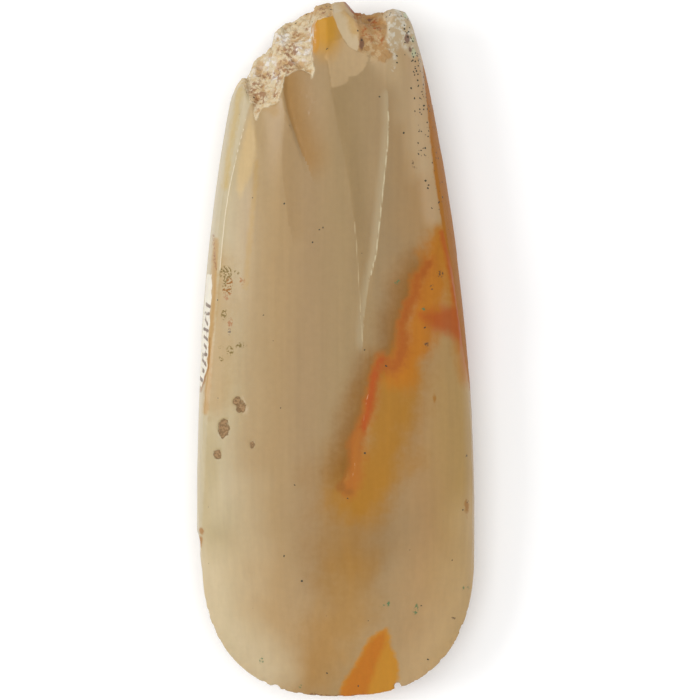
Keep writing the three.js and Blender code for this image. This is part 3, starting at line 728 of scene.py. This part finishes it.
def layStains(tree, inMm, mottle, colour):
    roughness = jade["roughness"]
    lumps = {}
    for size in sorted({stain["patch"] for stain in stains if "patch" in stain}):
        soft = add(tree, "ShaderNodeTexNoise", {"Vector": inMm, "Scale": 1 / size, "Detail": 3}).outputs[0]
        lumps[size] = add(tree, "ShaderNodeMapRange", {0: soft, 1: 0.47, 2: 0.55}).outputs[0]
    for stain in stains:
        value = add(tree, "ShaderNodeAttribute", attribute_name=stain["name"]).outputs["Fac"]
        ragged = stain.get("ragged", 0)
        if ragged:
            value = add(tree, "ShaderNodeMath", {0: mottle, 1: ragged * 2, 2: value},
                        operation="MULTIPLY_ADD").outputs[0]
        start, end = stain["reach"]
        amount = add(tree, "ShaderNodeMapRange", {0: value, 1: start + ragged, 2: end + ragged, 3: 0,
                     4: stain["strength"]}, interpolation_type="SMOOTHSTEP").outputs[0]
        if "patch" in stain:
            amount = add(tree, "ShaderNodeMath", {0: amount, 1: lumps[stain["patch"]]},
                         operation="MULTIPLY").outputs[0]
        colour = add(tree, "ShaderNodeMix", {0: amount, 6: colour, 7: linear(stain["tone"])},
                     data_type="RGBA").outputs[2]
        if "rough" in stain:
            roughness = add(tree, "ShaderNodeMix", {0: amount, 2: roughness, 3: stain["rough"]}).outputs[0]
    return colour, roughness


def laySpecks(tree, inMm, mottleColour, colour):
    jitter = add(tree, "ShaderNodeVectorMath", {0: inMm, 1: mottleColour}, operation="ADD").outputs[0]
    cells = add(tree, "ShaderNodeTexVoronoi", {"Vector": jitter, "Scale": 1 / specks["apart"]})
    near = add(tree, "ShaderNodeMapRange", {0: cells.outputs["Distance"], 1: 0.32, 2: 0.2}).outputs[0]
    pick = add(tree, "ShaderNodeSeparateColor", {0: cells.outputs["Color"]}).outputs[0]
    crowd = add(tree, "ShaderNodeAttribute", attribute_name="speckled").outputs["Fac"]
    chosen = add(tree, "ShaderNodeMath", {0: pick, 1: crowd}, operation="LESS_THAN").outputs[0]
    shown = add(tree, "ShaderNodeMath", {0: near, 1: chosen}, operation="MULTIPLY").outputs[0]
    return add(tree, "ShaderNodeMix", {0: shown, 6: colour, 7: linear(specks["tone"])},
               data_type="RGBA").outputs[2]


def layShade(tree, inMm, mottle, colour):  # faint streaks and grain lighten and darken the stone a little
    drawn = add(tree, "ShaderNodeMapping", {0: inMm, 3: (1 / jade["streakWide"], 1 / jade["streakLong"],
                1 / jade["streakWide"])}).outputs[0]
    streaks = add(tree, "ShaderNodeTexNoise", {"Vector": drawn, "Scale": 1, "Detail": 3}).outputs[0]
    shade = add(tree, "ShaderNodeMapRange", {0: streaks, 1: 0.3, 2: 0.7, 3: 1 - jade["streakShade"],
                4: 1 + jade["streakShade"]}).outputs[0]
    fine = add(tree, "ShaderNodeMapRange", {0: mottle, 1: 0.25, 2: 0.75, 3: 1 - jade["mottleShade"],
               4: 1 + jade["mottleShade"]}).outputs[0]
    shade = add(tree, "ShaderNodeMath", {0: shade, 1: fine}, operation="MULTIPLY").outputs[0]
    return add(tree, "ShaderNodeHueSaturation", {"Value": shade, "Color": colour}).outputs[0]


def breakGrain(tree, inMm, roughness):  # the broken grain is rough to the eye, the polish is not
    grit = add(tree, "ShaderNodeTexNoise", {"Vector": inMm, "Scale": 1 / jade["grit"],
               "Detail": 2}).outputs[0]
    grainy = add(tree, "ShaderNodeMapRange", {0: roughness, 1: 0.5, 2: 0.85}).outputs[0]
    height = add(tree, "ShaderNodeMath", {0: grit, 1: grainy}, operation="MULTIPLY").outputs[0]
    return add(tree, "ShaderNodeBump", {"Strength": 0.8, "Distance": jade["gritDepth"] * mm,
               "Height": height}).outputs[0]


def jadeStone():
    # Weathered jade: dense, milky and polished, so it has a soft gleam over clouded cream and tan,
    # and the broken butt is a dull, sugary white with earth in it
    stone = bpy.data.materials.new("weathered polished jade")
    stone.use_nodes = True
    tree = stone.node_tree
    shader = tree.nodes["Principled BSDF"]
    where = add(tree, "ShaderNodeTexCoord").outputs["Object"]
    inMm = add(tree, "ShaderNodeVectorMath", {0: where, 3: 1 / mm}, operation="SCALE").outputs[0]
    mottled = add(tree, "ShaderNodeTexNoise", {"Vector": inMm, "Scale": 1 / jade["mottleSize"], "Detail": 5})
    mottle, mottleColour = mottled.outputs[0], mottled.outputs[1]
    colour, roughness = layStains(tree, inMm, mottle, ownColour(tree, inMm))
    colour = laySpecks(tree, inMm, mottleColour, colour)
    tree.links.new(layShade(tree, inMm, mottle, colour), shader.inputs["Base Color"])
    tree.links.new(roughness, shader.inputs["Roughness"])
    tree.links.new(breakGrain(tree, inMm, roughness), shader.inputs["Normal"])
    shader.inputs["IOR"].default_value = jade["index"]
    shader.inputs["Specular IOR Level"].default_value = jade["gleam"]
    shader.inputs["Subsurface Weight"].default_value = jade["glow"]
    shader.inputs["Subsurface Radius"].default_value = (1.0, 0.7, 0.4)
    shader.inputs["Subsurface Scale"].default_value = jade["glowReach"] * mm
    return stone


def markSpecks(mesh):  # share of the speck places that hold a speck
    x, y = readPoints(mesh).T[:2]
    edge = ease(np.abs(besideRoute(places["rightArris"], x, y) + 0.8), 3.8, 1) * ease(y, 26, 66)
    butt = ease(insideOutline(places["corner"], x, y), -2, 1) + ease(y, 78, 90)
    keep(mesh, "speckled", specks["few"] + specks["edge"] * edge + specks["butt"] * butt)


markSpecks(mesh)
mesh.materials.append(jadeStone())
for face in mesh.polygons:
    face.use_smooth = True
axeHead = bpy.data.objects.new("axeHead", mesh)
bpy.context.scene.collection.objects.link(axeHead)
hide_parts("axe_head")
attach(axeHead, "root")
print("stone")
